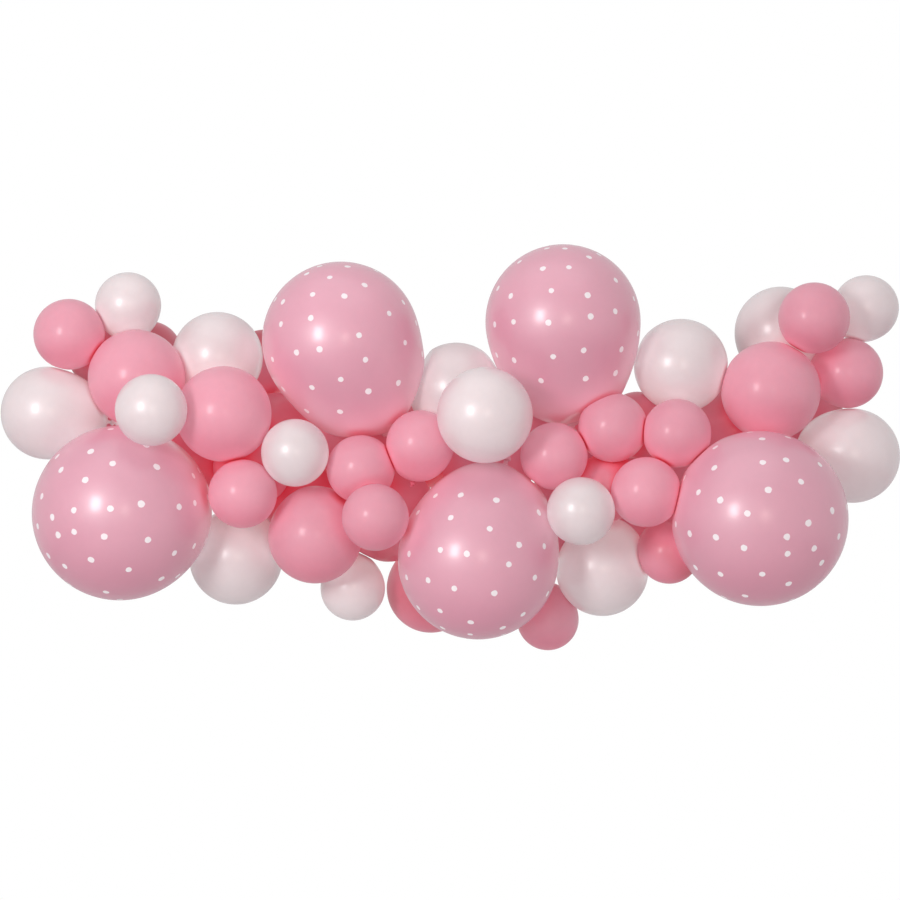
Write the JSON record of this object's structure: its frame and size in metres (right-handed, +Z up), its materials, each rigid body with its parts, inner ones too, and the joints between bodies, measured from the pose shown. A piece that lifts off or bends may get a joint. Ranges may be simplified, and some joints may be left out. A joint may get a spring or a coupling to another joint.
{
  "type": "balloon garland",
  "caption": "Packed garland of round latex balloons in pink and pearl white, the largest dotted, on a punched strip that hangs on a wall.",
  "frame": {"origin": "on the flat back face of the decorating strip, at the middle of its length, between two holes", "axes": "+X along the garland to the viewer's right, +Y towards the wall, +Z up"},
  "size_m": [1.6097, 0.5041, 0.7258],
  "materials": {
    "latex_pink": "matt latex, evenly dyed, with a soft sheen and thin lighter edges",
    "latex_pearl_white": "pearl latex, a soft satin shine with a faint warm shimmer",
    "latex_pearl_pink": "pearl latex with a satin shine, printed all over with small white dots",
    "strip": "thin semi-clear plastic band, slightly glossy, punched with holes"
  },
  "bodies": {
    "root": {"dotted_far_left": "latex_pearl_pink", "dotted_top_left": "latex_pearl_pink", "dotted_top_middle": "latex_pearl_pink", "dotted_bottom_middle": "latex_pearl_pink", "dotted_far_right": "latex_pearl_pink", "white_medium_1": "latex_pearl_white", "white_medium_2": "latex_pearl_white", "white_medium_3": "latex_pearl_white", "white_medium_4": "latex_pearl_white", "white_medium_5": "latex_pearl_white", "white_medium_6": "latex_pearl_white", "white_medium_7": "latex_pearl_white", "white_medium_8": "latex_pearl_white", "white_medium_9": "latex_pearl_white", "white_small_1": "latex_pearl_white", "white_small_2": "latex_pearl_white", "white_small_3": "latex_pearl_white", "white_small_4": "latex_pearl_white", "white_small_5": "latex_pearl_white", "white_small_6": "latex_pearl_white", "pink_medium_1": "latex_pink", "pink_medium_2": "latex_pink", "pink_medium_3": "latex_pink", "pink_medium_4": "latex_pink", "pink_medium_5": "latex_pink", "pink_medium_6": "latex_pink", "pink_medium_7": "latex_pink", "pink_medium_8": "latex_pink", "pink_medium_9": "latex_pink", "pink_medium_10": "latex_pink", "pink_medium_11": "latex_pink", "pink_small_1": "latex_pink", "pink_small_2": "latex_pink", "pink_small_3": "latex_pink", "pink_small_4": "latex_pink", "pink_small_5": "latex_pink", "pink_small_6": "latex_pink", "pink_small_7": "latex_pink", "pink_small_8": "latex_pink", "pink_small_9": "latex_pink", "pink_small_10": "latex_pink", "pink_small_11": "latex_pink", "pink_small_12": "latex_pink", "pink_small_13": "latex_pink", "pink_small_14": "latex_pink", "pink_small_15": "latex_pink", "pink_small_16": "latex_pink", "pink_small_17": "latex_pink", "pink_small_18": "latex_pink", "pink_small_19": "latex_pink", "pink_small_20": "latex_pink", "pink_small_21": "latex_pink", "pink_small_22": "latex_pink", "pink_small_23": "latex_pink", "pink_small_24": "latex_pink", "pink_small_25": "latex_pink", "pink_small_26": "latex_pink", "pink_small_27": "latex_pink", "pink_small_28": "latex_pink", "decorating_strip": "strip"}
  },
  "joints": []
}
